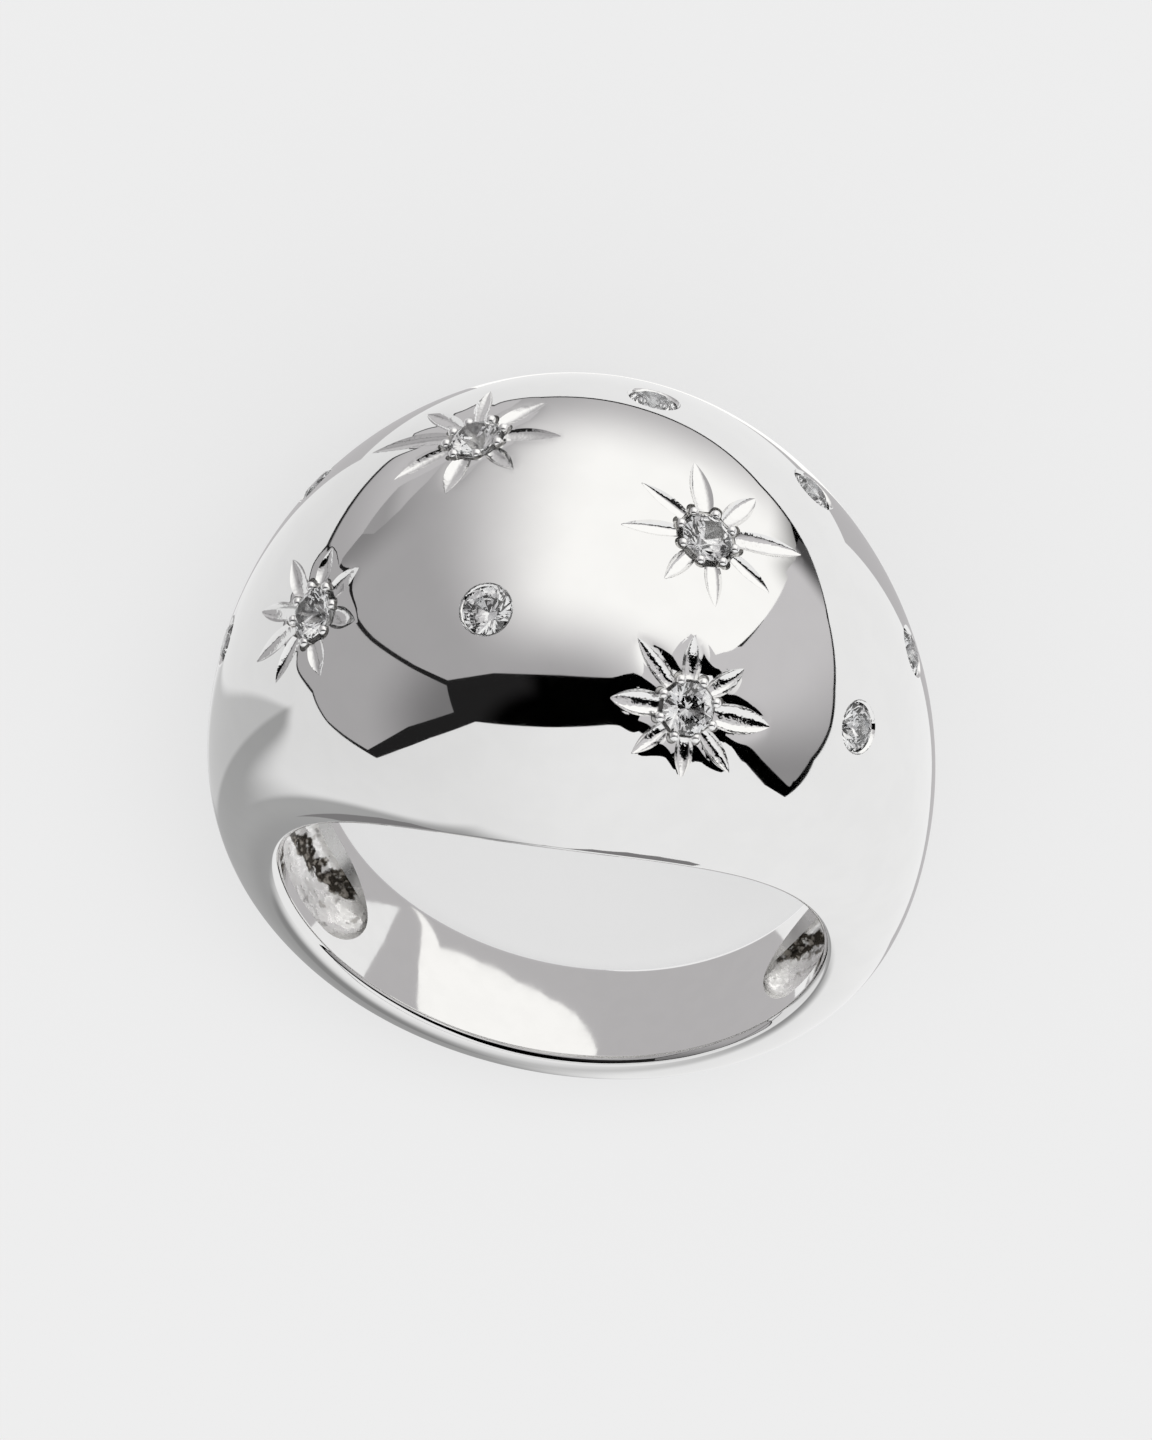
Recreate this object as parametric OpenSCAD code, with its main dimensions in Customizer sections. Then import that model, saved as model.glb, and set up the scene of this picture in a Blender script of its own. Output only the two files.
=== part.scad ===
// Bold dome ring in polished silver: one cast band, hollow under the dome and narrow at the
// back of the finger, flush set with small round stones and engraved with starbursts.
// It lies on its side as it would on a table, the finger hole facing up and the dome to the front.
// All lengths are in millimetres and all angles in degrees. Angles around the band are
// counted from the top of the dome, and places across it from its middle.

/* [Finger hole] */
// inside diameter of the band
finger_d = 17.35; // [15.7:0.05:19.8]

/* [Band outline] */
// width of the dome along the finger, at its lips
dome_w = 17.8; // [15:0.1:20]
// height of the dome above the finger hole
dome_t = 7.6; // [6:0.1:9]
// width of the band at the back of the finger
shank_w = 4.1; // [3.4:0.1:6]
// thickness of the band at the back of the finger
shank_t = 1.65; // [1.4:0.05:2.4]
// rounding of the edges of the finger hole
lip_r = 0.25; // [0.1:0.05:0.4]

/* [Band form] */
// how fast the width falls from the dome to the shank
w_fall = 2.9; // [2.2:0.1:3.6]
// how fast the thickness falls from the dome to the shank
t_fall = 3.5; // [2.6:0.1:4.2]
// share of the fall in width that is spread evenly
w_even = 0.2; // [0:0.05:0.4]
// share of the fall in thickness that is spread evenly
t_even = 0.15; // [0:0.05:0.4]
// fullness of the cross section at the dome, 2 being an ellipse
dome_full = 2; // [1.8:0.1:2.4]
// fullness of the cross section at the shank
shank_full = 2.6; // [2:0.1:3.2]

/* [Hollow under the dome] */
// metal left over the hollow at the top of the dome
dome_wall = 1.4; // [1.3:0.05:1.8]
// metal left over the hollow at its ends
end_wall = 0.9; // [0.8:0.05:1.1]
// rim of bore wall left between the hollow and each edge
rim = 0.7; // [0.5:0.05:0.9]
// depth of the bevel around the mouth of the hollow
mouth_bevel = 0.3; // [0.15:0.05:0.4]
// angle from the top of the dome to each end of the hollow
hollow_end = 132; // [110:1:140]
// angle over which each end of the hollow is rounded
end_round = 13; // [9:1:18]

/* [Stones] */
// diameter of the stones in the stars
star_stone_d = 1.65; // [1.5:0.05:1.8]
// diameter of the stones set alone
small_stone_d = 1.6; // [1.3:0.05:1.8]
// height of a lone stone's table over the metal around it
proud = 0.05; // [0:0.01:0.1]
// height of a star's stone over the metal around it
star_proud = 0.15; // [0.1:0.01:0.18]
// clearance between a stone and its seat
seat_gap = 0.03; // [0.02:0.01:0.05]
// share of a lone stone's radius that the metal leaves open
open_share = 0.93; // [0.88:0.01:0.97]
// width of the bright cut ring around a stone set alone
ring_w = 0.12; // [0.06:0.01:0.2]

/* [Stone cut, in shares of its diameter] */
// width of the table
table_share = 0.56; // [0.52:0.01:0.62]
// height of the crown
crown_share = 0.15; // [0.12:0.01:0.17]
// thickness of the girdle
girdle_share = 0.03; // [0.02:0.01:0.04]
// depth of the pavilion
pavilion_share = 0.42; // [0.38:0.01:0.44]

/* [Stars] */
// reach of a full ray from the middle of its star
star_r = 2.6; // [2.2:0.05:2.9]
// width of a ray at its widest
ray_w = 0.68; // [0.5:0.02:0.72]
// depth of a ray at its deepest
ray_depth = 0.26; // [0.18:0.01:0.32]
// width of the well cut around a star's stone
well_w = 0.22; // [0.12:0.01:0.28]
// depth of that well at the stone
well_depth = 0.1; // [0.06:0.01:0.12]

/* [Hidden] */

silver = [0.80, 0.80, 0.82];
clear = [0.86, 0.91, 0.96];

// sections around the band, and points over the main curve and over each rounded edge
around = 72;
over = 20;
corner = 2;
// sections of the hollow, those in each of its rounded ends, and points over one of them
hollow_around = 34;
end_steps = 6;
last_turn = 88;
hollow_over = 12;
// how far tools reach past the surface that they cut
past = 1;
inside = 0.8;
// how far the hollow's floor rises over the bore wall at its ends
run_out = 0.1;
near = 0.001;

finger_r = finger_d / 2;

// columns of the star table: angle around the band, place across as a share of the half width,
// then the rays, each with its turn and its reach as a share of star_r
AROUND = 0;
ACROSS = 1;
RAYS = 2;
TURN = 0;
REACH = 1;
stars = [
  [-13, 0.19, [[-4, 1.08], [41, 1], [94, 1.15], [134, 1.2], [167, 1.5], [-152, 1.08],
               [-101, 1], [-49, 0.93]]],
  [15.3, -0.13, [[20, 1.3], [61, 1.02], [108, 1.1], [155, 1.02], [-166, 1.08], [-116, 0.88],
                 [-71, 0.92], [-21, 0.98]]],
  [-33, -0.45, [[22, 0.87], [67, 0.82], [117, 1.01], [158, 1.12], [-170, 1.16], [-142, 0.99],
                [-85, 0.82], [-25, 0.82]]],
  [19, -0.73, [[7, 1.08], [52, 0.85], [103, 0.86], [145, 1.03], [-169, 0.96], [-123, 0.85],
               [-74, 0.82], [-35, 0.95]]]
];

// stones set alone: angle around the band and share of the half width
smalls = [
  [-8, -0.56], [6, 0.53], [28, 0.49], [43.5, -0.46],
  [51, 0.28], [-57, -0.09], [-39, 0.45]
];

// form of the band

function crest(a) = (1 + cos(a)) / 2;
function fall(a, even, power) = even * crest(a) + (1 - even) * pow(crest(a), power);
function w_share(a) = fall(a, w_even, w_fall);
function t_share(a) = fall(a, t_even, t_fall);

// half width and thickness of the band at an angle, and fullness of its section
function half_w(a) = (shank_w + (dome_w - shank_w) * w_share(a)) / 2;
function thick(a) = shank_t + (dome_t - shank_t) * t_share(a);
function full(a) = shank_full + (dome_full - shank_full) * crest(a);

// radius of the outer surface at an angle and a share of the half width
function out_r(a, v) =
  finger_r + lip_r + (thick(a) - lip_r) * pow(1 - pow(min(1, abs(v)), full(a)), 1 / full(a));

function place(a, y, r) = [r * sin(a), y, r * cos(a)];
function on_band(a, v) = place(a, half_w(a) * v, out_r(a, v));

// share of the half width, one end to the other, evenly turned like an ellipse's points
function turned(a, t) = sign(sin(t)) * pow(abs(sin(t)), 2 / full(a));

// one section of the band: from inside the bore over one edge, the dome and the other edge.
// an edge is rounded from half way up its lip, and slopes from there through the bore wall
function corner_pt(a, side, t, dig) =
  place(a, side * (half_w(a) - lip_r * (1 - sin(t)) - dig), finger_r + lip_r * (1 - cos(t)) - dig);
function section(a) = concat(
  [corner_pt(a, -1, 45, inside)],
  [for (i = [0:corner - 1]) corner_pt(a, -1, 45 + 45 * i / corner, 0)],
  [for (i = [0:over]) on_band(a, turned(a, -90 + 180 * i / over))],
  [for (i = [corner - 1:-1:0]) corner_pt(a, 1, 45 + 45 * i / corner, 0)],
  [corner_pt(a, 1, 45, inside)]
);
per_section = over + 2 * corner + 3;

// the sections stand half a step off the middle of the dome and of the shank, so that the band
// rests on an edge there and not on a point
blank_pts = [for (k = [0:around - 1]) each section(360 * (k + 0.5) / around)];

// lying on its side

// the band rests on the far lip of the dome and the far edge of the shank
outer_pts = [for (p = blank_pts) if (norm([p.x, p.z]) > finger_r - near) p];
dome_pts = [for (p = outer_pts) if (p.z > 0) p];
shank_pts = [for (p = outer_pts) if (p.z <= 0) p];
function up(p, t) = p.z * sin(t) - p.y * cos(t);
function ahead(p, t) = p.z * cos(t) + p.y * sin(t);
function lowest(pts, t) = min([for (p = pts) up(p, t)]);
function level(lo, hi, left) =
  let (mid = (lo + hi) / 2)
  left == 0 ? mid :
  lowest(dome_pts, mid) < lowest(shank_pts, mid) ? level(mid, hi, left - 1) :
  level(lo, mid, left - 1);
lean = level(0, 60, 24);
lift = -lowest(outer_pts, lean);
reach_pts = [for (p = outer_pts) ahead(p, lean)];
shift = (max(reach_pts) + min(reach_pts)) / 2;

module lay_down() {
  translate([0, shift, lift]) rotate([lean - 90, 0, 180]) children();
}

// frames on the surface

function unit(v) = v / norm(v);
function frame_x(a, v) = unit(on_band(a + 0.5, v) - on_band(a - 0.5, v));
function frame_y(a, v) = unit(on_band(a, v + 0.01) - on_band(a, v - 0.01));
function outward(a, v) = unit(cross(frame_x(a, v), frame_y(a, v)));

// columns of a frame: its x, y and z directions and its place
function frame(a, v) =
  let (z = outward(a, v), x = unit(frame_x(a, v) - z * (frame_x(a, v) * z)))
  [x, cross(z, x), z, on_band(a, v)];
function matrix(f) = [for (i = [0:2]) [f[0][i], f[1][i], f[2][i], f[3][i]]];

module set_at(f) {
  multmatrix(matrix(f)) children();
}

// how far a point is outside the band, along the radius
function angle_of(p) = atan2(p.x, p.z);
function over_band(p) =
  let (a = angle_of(p)) norm([p.x, p.z]) - out_r(a, p.y / half_w(a));

// the point of the surface over a place in a frame's plane
function slide(f, x, y, w, left) =
  let (p = f[3] + x * f[0] + y * f[1] + w * f[2], tilt = unit([p.x, 0, p.z]) * f[2])
  left == 0 ? p : slide(f, x, y, w - over_band(p) * tilt, left - 1);
function over_frame(f, x, y) = slide(f, x, y, 0, 8);

star_frames = [for (s = stars) frame(s[AROUND], s[ACROSS])];
small_frames = [for (s = smalls) frame(s[AROUND], s[ACROSS])];

// stones

// faces between two rings of points, and the ring of a shape given by its points
function ring_pts(count, start, r, z) =
  [for (i = [0:count - 1]) let (t = start + 360 * i / count) [r * cos(t), r * sin(t), z]];

// levels of a stone whose table stands at a height over the metal around it
function crown_h(d) = crown_share * d;
function girdle_h(d) = girdle_share * d;
function girdle_top(d, up) = up - crown_h(d);
function culet_z(d, up) = girdle_top(d, up) - girdle_h(d) - pavilion_share * d;

// round brilliant: table, crown and pavilion facets around an eightfold girdle
crown_ring = 0.8;
pavilion_ring = 0.25;
module brilliant(d, up) {
  r = d / 2;
  table_r = table_share * r;
  half_step = 22.5;
  crown_in = crown_ring * cos(half_step);
  crown_z = up - crown_h(d) * (crown_in - table_share) / (1 - table_share);
  high_girdle = girdle_top(d, up);
  low_girdle = high_girdle - girdle_h(d);
  pavilion_z = low_girdle - pavilion_share * d * (1 - pavilion_ring * cos(half_step));
  pts = concat(
    ring_pts(8, 0, table_r, up),
    ring_pts(8, half_step, crown_ring * r, crown_z),
    ring_pts(16, 0, r, high_girdle),
    ring_pts(16, 0, r, low_girdle),
    ring_pts(8, half_step, pavilion_ring * r, pavilion_z),
    [[0, 0, culet_z(d, up)]]
  );
  table = 0;
  crown = 8;
  upper = 16;
  lower = 32;
  pavilion = 48;
  culet = 56;
  polyhedron(pts, concat(
    [[for (i = [7:-1:0]) table + i]],
    [for (i = [0:7]) [table + i, table + (i + 1) % 8, crown + i]],
    [for (i = [0:7]) [table + i, crown + i, upper + 2 * i, crown + (i + 7) % 8]],
    [for (i = [0:7]) [crown + i, upper + 2 * i + 1, upper + 2 * i]],
    [for (i = [0:7]) [crown + i, upper + (2 * i + 2) % 16, upper + 2 * i + 1]],
    [for (i = [0:15]) [upper + i, upper + (i + 1) % 16, lower + (i + 1) % 16, lower + i]],
    [for (i = [0:7]) [pavilion + i, lower + 2 * i, lower + 2 * i + 1]],
    [for (i = [0:7]) [pavilion + i, lower + 2 * i + 1, lower + (2 * i + 2) % 16]],
    [for (i = [0:7]) [culet, pavilion + (i + 7) % 8, lower + 2 * i, pavilion + i]]
  ));
}

module stone(f, d, up) {
  color(clear) lay_down() set_at(f) brilliant(d, up);
}

// the room that a lone stone needs in the metal, narrowed over its crown to hold it and opened
// by a bright cut ring
module seat() {
  d = small_stone_d;
  r = d / 2 + seat_gap;
  open_r = open_share * d / 2 + seat_gap;
  crown_slope = crown_share / (0.5 * (1 - table_share));
  hold_z = girdle_top(d, proud) + d / 2 * (1 - open_share) * crown_slope + seat_gap;
  rotate_extrude($fn = 64) polygon([
    [0, culet_z(d, proud) - 2 * seat_gap],
    [r, girdle_top(d, proud) - girdle_h(d) - seat_gap],
    [r, girdle_top(d, proud) + seat_gap],
    [open_r, hold_z],
    [open_r, -ring_w],
    [open_r + ring_w + past, past],
    [0, past]
  ]);
}

// the room that a star's stone needs, open above its girdle and widened to a shallow well
module star_seat() {
  d = star_stone_d;
  r = d / 2 + seat_gap;
  rotate_extrude($fn = 64) polygon([
    [0, culet_z(d, star_proud) - 2 * seat_gap],
    [r, girdle_top(d, star_proud) - girdle_h(d) - seat_gap],
    [r, -well_depth],
    [r + well_w * (1 + past / well_depth), past],
    [0, past]
  ]);
}

// stars

// one ray, cut by a graver: from its tip on the surface down and out to the seat.
// columns of its stations: place from the tip to the seat, and share of its depth and width
ALONG = 0;
DEEP = 1;
stations = [[0.3, 0.5], [0.65, 1], [1, 0.85]];
module ray(f, turn, reach) {
  inner = star_stone_d / 2 - 2 * seat_gap;
  tip = reach * star_r;
  side = [-sin(turn), cos(turn)];
  sides = side.x * f[0] + side.y * f[1];
  slope = ray_w / 2 / ray_depth;
  lip = ray_depth;
  function middle(s) =
    let (d = tip + (inner - tip) * s) over_frame(f, d * cos(turn), d * sin(turn));
  pts = concat([middle(0) + 0.02 * f[2]], [
    for (s = stations)
      let (m = middle(s[ALONG]), deep = ray_depth * s[DEEP], half = (deep + lip) * slope)
      each [m - deep * f[2], m + lip * f[2] - half * sides, m + lip * f[2] + half * sides]
  ]);
  n = len(stations);
  polyhedron(pts, concat(
    [[0, 1, 2], [0, 3, 1], [0, 2, 3]],
    [
      for (i = [0:n - 2])
        for (j = [0:2])
          let (p = 1 + 3 * i + j, q = 1 + 3 * i + (j + 1) % 3)
          each [[p, q + 3, q], [p, p + 3, q + 3]]
    ],
    [[3 * n - 2, 3 * n, 3 * n - 1]]
  ));
}

// band

// faces of a closed loop of sections
function loop_faces(count, per) = [
  for (k = [0:count - 1])
    for (i = [0:per - 1])
      let (k2 = (k + 1) % count, i2 = (i + 1) % per)
      let (p = k * per + i, q = k * per + i2, s = k2 * per + i2, t = k2 * per + i)
      each [[p, q, s], [p, s, t]]
];

module blank() {
  polyhedron(blank_pts, loop_faces(around, per_section));
}

// the hollow follows the band inside its wall and opens into the bore through a bevelled mouth.
// its ends are round, and its floor comes up there through the bore wall
flat_end = hollow_end - end_round;
function wall_at(a) = end_wall + (dome_wall - end_wall) * w_share(a);
function end_share(a) =
  let (u = (abs(a) - flat_end) / end_round)
  u <= 0 ? 1 : sqrt(1 - min(1, u) * min(1, u));
function hollow_w(a) = (half_w(a) - rim - mouth_bevel) * end_share(a);
function hollow_t(a) = (thick(a) - wall_at(a) - mouth_bevel) * end_share(a);
function mouth_r(a) = finger_r + mouth_bevel * end_share(a) - run_out * (1 - end_share(a));
function mouth_pt(a, side) =
  let (dig = inside + mouth_bevel * end_share(a))
  place(a, side * (hollow_w(a) + dig), mouth_r(a) - dig);
function hollow_section(a) = concat(
  [mouth_pt(a, -1)],
  [
    for (i = [0:hollow_over])
      let (t = -90 + 180 * i / hollow_over)
      place(a, hollow_w(a) * turned(a, t), mouth_r(a) + hollow_t(a) * pow(cos(t), 2 / full(a)))
  ],
  [mouth_pt(a, 1)]
);

// angles of the hollow's sections, closer together in the rounded ends
function end_angle(i) = flat_end + end_round * sin(last_turn * i / end_steps);
hollow_angles = concat(
  [for (i = [end_steps:-1:1]) -end_angle(i)],
  [for (k = [0:hollow_around]) flat_end * (2 * k / hollow_around - 1)],
  [for (i = [1:end_steps]) end_angle(i)]
);
module hollow() {
  per = hollow_over + 3;
  last = len(hollow_angles) - 1;
  pts = [for (a = hollow_angles) each hollow_section(a)];
  polyhedron(pts, concat(
    [[for (i = [per - 1:-1:0]) i]],
    [
      for (k = [0:last - 1])
        for (i = [0:per - 1])
          let (p = k * per + i, q = k * per + (i + 1) % per)
          each [[p, q, q + per], [p, q + per, p + per]]
    ],
    [[for (i = [0:per - 1]) last * per + i]]
  ));
}

module bore() {
  long = dome_w + 2 * past;
  rotate([90, 90, 0]) cylinder(d = finger_d, h = long, center = true, $fn = 180);
}

module shell() {
  difference() {
    difference() {
      blank();
      bore();
    }
    hollow();
  }
}

module drilled() {
  difference() {
    difference() {
      shell();
      for (f = star_frames) set_at(f) star_seat();
    }
    for (f = small_frames) set_at(f) seat();
  }
}

module band() {
  color(silver) lay_down() difference() {
    drilled();
    for (i = [0:len(stars) - 1])
      for (r = stars[i][RAYS])
        ray(star_frames[i], r[TURN], r[REACH]);
  }
}

module star_stone(i) {
  stone(star_frames[i], star_stone_d, star_proud);
}

module small_stone(i) {
  stone(small_frames[i], small_stone_d, proud);
}

band();
star_stone(0);  // star_stone_1
star_stone(1);  // star_stone_2
star_stone(2);  // star_stone_3
star_stone(3);  // star_stone_4
small_stone(0);  // small_stone_1
small_stone(1);  // small_stone_2
small_stone(2);  // small_stone_3
small_stone(3);  // small_stone_4
small_stone(4);  // small_stone_5
small_stone(5);  // small_stone_6
small_stone(6);  // small_stone_7
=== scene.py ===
"""Looks of a bold dome ring in polished silver, lying on its side on a pale floor.

The band is modelled in millimetres in its own frame (y along the finger, z towards the dome's
middle, angles counted from there), then laid down as its solids lie and scaled to metres.
"""

import math

import bpy
import numpy as np
from mathutils import Matrix, Vector, noise


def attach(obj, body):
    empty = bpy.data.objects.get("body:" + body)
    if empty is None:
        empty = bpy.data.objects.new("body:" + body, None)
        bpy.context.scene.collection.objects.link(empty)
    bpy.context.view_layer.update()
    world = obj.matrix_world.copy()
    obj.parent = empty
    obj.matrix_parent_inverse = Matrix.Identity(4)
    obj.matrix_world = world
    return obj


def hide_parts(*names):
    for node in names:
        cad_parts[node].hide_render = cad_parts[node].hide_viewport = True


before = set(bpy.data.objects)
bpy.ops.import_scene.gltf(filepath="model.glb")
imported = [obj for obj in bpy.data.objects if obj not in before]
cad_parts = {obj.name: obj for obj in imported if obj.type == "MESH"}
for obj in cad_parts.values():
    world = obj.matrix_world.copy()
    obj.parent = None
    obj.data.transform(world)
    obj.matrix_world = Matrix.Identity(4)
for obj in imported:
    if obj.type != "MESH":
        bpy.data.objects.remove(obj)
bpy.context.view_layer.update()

MM = 0.001

# how the band lies: its lean, the height of its middle, and how far back its middle is
LEAN = math.radians(20.6538)
LIFT = 5.19117
SHIFT = 2.97305

# sizes of the band: finger hole, dome, shank and the rounding of the hole's edges
BORE_R = 8.675
DOME_W, DOME_T = 17.8, 7.6
SHANK_W, SHANK_T = 4.1, 1.65
LIP_R = 0.25
# how fast width and thickness fall from dome to shank, and the share of each that falls evenly
W_FALL, W_EVEN = 2.9, 0.2
T_FALL, T_EVEN = 3.5, 0.15
# fullness of the cross section at the dome and at the shank, 2 being an ellipse
DOME_FULL, SHANK_FULL = 2.0, 2.6

# metal over the hollow at the top of the dome and at its ends, and the rim left beside it
DOME_WALL, END_WALL = 1.4, 0.9
RIM = 0.7
# bevel of its mouth, angle to each of its ends, and the angle over which an end is rounded
MOUTH_BEVEL = 0.3
HOLLOW_END, END_ROUND = 132.0, 13.0
# how far its ends run out into the finger hole, and how far its tool reaches past the wall
RUN_OUT = 0.1
DIG = 0.8
# place across the band of the dark stripe of painted shade in its skin, which stands for the
# shadowed wall that the hollow mirrors there
SHADE_STREAK_AT = 1.13

# diameters of the stones, and heights of their tables over the metal around them
STAR_STONE_D, STAR_PROUD = 1.65, 0.15
SMALL_STONE_D, SMALL_PROUD = 1.6, 0.05
SEAT_GAP = 0.03
# the stones' cut, in shares of their diameter
TABLE, CROWN, GIRDLE, PAVILION = 0.56, 0.15, 0.03, 0.42
# share of a lone stone's radius that the metal leaves open, and the section of the bright cut
# ring around it: how far out from the opening, and how high
OPEN = 0.93
RING = [(0, -0.12), (0.04, -0.095), (0.075, -0.05), (0.1, 0.01)]
# how much deeper than its stone a star's seat is cut
SEAT_DROP = 0.1

# reach of a full ray from the middle of its star, its width and depth where it is widest, and
# how near to the middle rays come
STAR_R = 2.6
RAY_W, RAY_DEPTH = 0.66, 0.2
RAY_IN = 0.9
# the well around a star's stone, then the grains of silver that hold the stone, the pockets
# cut behind them, and the least angle between two rays that leaves room for a grain
WELL_R, WELL_FLOOR = 1.0, 0.26
GRAIN_R, GRAIN_AT = 0.17, 0.92
POCKET_R, POCKET_AT = 0.22, 1.08 * GRAIN_AT
LEAST_GAP = 30

# angle round the band, place across it as a share of its half width, how far polishing has
# rolled the metal down around the star, then each ray's turn, its reach as a share of STAR_R
# and its width as a share of RAY_W
STARS = [
    (-13, 0.19, 0.11, [
        (-4, 1.08, 1.0), (41, 1, 1.1), (94, 1.15, 0.85), (134, 1.2, 1.0),
        (167, 1.5, 1.1), (-152, 1.08, 0.95), (-101, 1, 1.15), (-49, 0.93, 0.9)]),
    (15.3, -0.13, 0.05, [
        (20, 1.3, 1.15), (61, 1.02, 1.1), (108, 1.1, 1.15), (155, 1.02, 0.8),
        (-166, 1.08, 0.85), (-116, 0.88, 0.9), (-71, 0.92, 0.9), (-21, 0.98, 0.8)]),
    (-33, -0.45, 0.07, [
        (22, 0.87, 1.0), (67, 0.82, 1.0), (117, 1.01, 1.1), (158, 1.12, 1.0),
        (-170, 1.16, 1.0), (-142, 0.99, 0.9), (-85, 0.82, 1.2), (-25, 0.82, 1.1)]),
    (19, -0.73, 0.18, [
        (7, 1.08, 1.35), (52, 0.85, 0.95), (103, 0.86, 0.95), (145, 1.03, 0.9),
        (-169, 0.96, 1.25), (-123, 0.85, 0.85), (-74, 0.82, 0.9), (-35, 0.95, 0.85)]),
]
# the stones set alone: angle round the band and place across it
SMALLS = [(-8, -0.56), (6, 0.53), (28, 0.49), (43.5, -0.46),
          (51, 0.28), (-57, -0.09), (-39, 0.45)]


# ---- form of the band, in millimetres; angles are numpy arrays in radians

def crest(a):
    """1 at the middle of the dome, 0 at the middle of the shank."""
    return (1 + np.cos(a)) / 2


def w_share(a):
    return W_EVEN * crest(a) + (1 - W_EVEN) * crest(a) ** W_FALL


def t_share(a):
    return T_EVEN * crest(a) + (1 - T_EVEN) * crest(a) ** T_FALL


def half_w(a):
    return (SHANK_W + (DOME_W - SHANK_W) * w_share(a)) / 2


def thick(a):
    return SHANK_T + (DOME_T - SHANK_T) * t_share(a)


def full(a):
    """Fullness of the cross section."""
    return SHANK_FULL + (DOME_FULL - SHANK_FULL) * crest(a)


def out_r(a, v):
    """Distance of the outer surface from the hole's axis; v goes from -1 to 1 across the band."""
    n = full(a)
    over = np.maximum(0, 1 - np.minimum(1, np.abs(v)) ** n)
    return BORE_R + LIP_R + (thick(a) - LIP_R) * over ** (1 / n)


def place(a, y, r):
    """Point at an angle round the band, a place across it and a distance from the axis."""
    return np.stack(np.broadcast_arrays(r * np.sin(a), y, r * np.cos(a)), -1)


def turned(a, t):
    """Place across the band, -1 to 1, for a turn over its cross section."""
    s = np.sin(t)
    return np.sign(s) * np.abs(s) ** (2 / full(a))


def on_band(a, v):
    return place(a, half_w(a) * v, out_r(a, v))


def unit(v):
    return v / np.maximum(np.linalg.norm(v, axis=-1, keepdims=True), 1e-12)


# ---- frames on the surface, and places over them

class Spot:
    """A place on the surface: its x runs round the band, its y across it, its z outwards."""

    def __init__(self, degrees, v):
        a = math.radians(degrees)
        step = math.radians(0.5)
        fx = unit(on_band(a + step, v) - on_band(a - step, v))
        fy = unit(on_band(a, v + 0.01) - on_band(a, v - 0.01))
        self.z = unit(np.cross(fx, fy))
        self.x = unit(fx - self.z * fx.dot(self.z))
        self.y = np.cross(self.z, self.x)
        self.o = on_band(a, v)

    def local(self, p):
        d = p - self.o
        return d @ self.x, d @ self.y, d @ self.z

    def world(self, pts):
        pts = np.asarray(pts, float)
        return self.o + pts[:, 0:1] * self.x + pts[:, 1:2] * self.y + pts[:, 2:3] * self.z

    def over(self, x, y):
        """The point of the surface over a place in the plane."""
        w = 0.0
        for _ in range(8):
            p = self.o + x * self.x + y * self.y + w * self.z
            a = math.atan2(p[0], p[2])
            gap = math.hypot(p[0], p[2]) - out_r(a, p[1] / half_w(a))
            w -= gap * unit(np.array([p[0], 0, p[2]])).dot(self.z)
        return self.o + x * self.x + y * self.y + w * self.z


star_spots = [Spot(a, v) for a, v, _, _ in STARS]
small_spots = [Spot(a, v) for a, v in SMALLS]

# where on its way inwards a ray is widest, how blunt its tip is, how much it narrows from there
# to the well, and how its depth follows its width
LEAF_FULL, LEAF_BLUNT, LEAF_WANE = 0.62, 0.85, 0.3
DEPTH_POWER = 1.3


def leaf(s):
    """Share of a ray's full width at a share of the way from its tip to the well."""
    s = np.clip(s, 0, 1)
    rise = np.sin(math.pi / 2 * np.minimum(1, s / LEAF_FULL)) ** LEAF_BLUNT
    past = np.clip((s - LEAF_FULL) / (1 - LEAF_FULL), 0, 1)
    return rise * (1 - LEAF_WANE * past ** 2)


# ---- metal rolled down by polishing along the rays and wells

# how far the dish around a well reaches, the share of it that goes along the rays and how far
# that reaches, how far from a star any of it is worked out, and the step for its slope
ROLL_REACH = 0.5
RAY_ROLL, RAY_ROLL_REACH = 0.35, 0.16
ROLL_FAR = 4.5
ROLL_STEP = 0.02


def rolled(p):
    """How far polishing has lowered the surface at points near a star."""
    down = np.zeros(len(p))
    for spot, (_, _, roll, rays) in zip(star_spots, STARS):
        near = np.linalg.norm(p - spot.o, axis=1) < ROLL_FAR
        if not near.any():
            continue
        x, y, _ = spot.local(p[near])
        rho = np.hypot(x, y)
        dish = np.exp(-np.maximum(0, rho - WELL_R) / ROLL_REACH)
        total = np.zeros(len(x))
        for turn, reach, width in rays:
            c, s = math.cos(math.radians(turn)), math.sin(math.radians(turn))
            along, across = x * c + y * s, np.abs(y * c - x * s)
            tip = reach * STAR_R
            share = np.clip((tip - along) / (tip - RAY_IN), 0, 1)
            wide = leaf(share)
            gap = np.maximum(0, across - RAY_W / 2 * width * wide)
            past = np.maximum(0, along - tip)
            total += wide * np.exp(-np.hypot(gap, past) / RAY_ROLL_REACH) * (along > 0)
        down[near] += roll * (dish + RAY_ROLL * (1 - np.exp(-total)))
    return down


def level(p):
    """Less than 1 inside the outer surface, and more than 1 outside it."""
    a = np.arctan2(p[:, 0], p[:, 2])
    r = np.hypot(p[:, 0], p[:, 2])
    n = full(a)
    rise = np.maximum(1e-9, (r - BORE_R - LIP_R) / (thick(a) - LIP_R))
    v = np.abs(p[:, 1]) / half_w(a) + 1e-12
    return (rise ** n + v ** n) ** (1 / n)


def past_side(p):
    """How far points lie past the band's side."""
    return np.abs(p[:, 1]) - half_w(np.arctan2(p[:, 0], p[:, 2]))


def gradient(f, p, step=1e-4):
    return np.stack([(f(p + step * e) - f(p - step * e)) / (2 * step) for e in np.eye(3)], 1)


def plain_normals(p):
    """Normals of the outer surface before polishing rolled it down."""
    return unit(gradient(level, p))


def outer_normals(p):
    return unit(plain_normals(p) + gradient(rolled, p, ROLL_STEP))


def bore_normals(p):
    return unit(p * np.array([-1.0, 0, -1.0]))


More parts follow.
